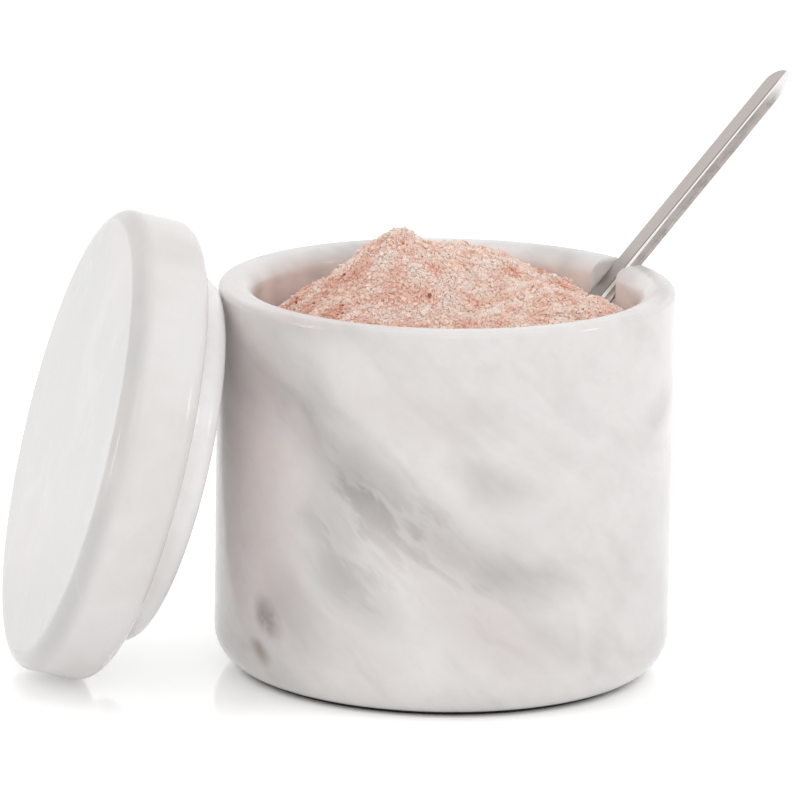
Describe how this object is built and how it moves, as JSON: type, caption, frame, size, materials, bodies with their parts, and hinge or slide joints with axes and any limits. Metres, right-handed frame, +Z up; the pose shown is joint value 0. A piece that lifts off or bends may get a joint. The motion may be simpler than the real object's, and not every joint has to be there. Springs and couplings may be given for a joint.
{
  "type": "salt cellar",
  "caption": "Round stone salt cellar with a slotted rim, a thin pad, a small steel spoon, salt inside, and its plugged lid leaning beside it.",
  "frame": {"origin": "middle of the pad's underside, on the surface that the jar stands on", "axes": "+Z up along the jar's axis, -Y towards the viewer of the picture, +X to the right, the side of the spoon"},
  "size_m": [0.1743, 0.1167, 0.1249],
  "materials": {
    "stone": "polished",
    "pad": "matt",
    "salt": "coarse grains",
    "steel": "brushed"
  },
  "bodies": {
    "jar": {"jar_body": "stone", "base_pad": "pad", "salt": "salt"},
    "lid": {"lid": "stone"},
    "spoon": {"spoon": "steel"}
  },
  "joints": [
    {"name": "lid_lift", "type": "slide", "parent": "jar", "child": "lid", "axis": [0, 0, 1], "range_m": [0, 0.1]},
    {"name": "spoon_lift", "type": "slide", "parent": "jar", "child": "spoon", "axis": [0, 0, 1], "range_m": [0, 0.045]}
  ]
}
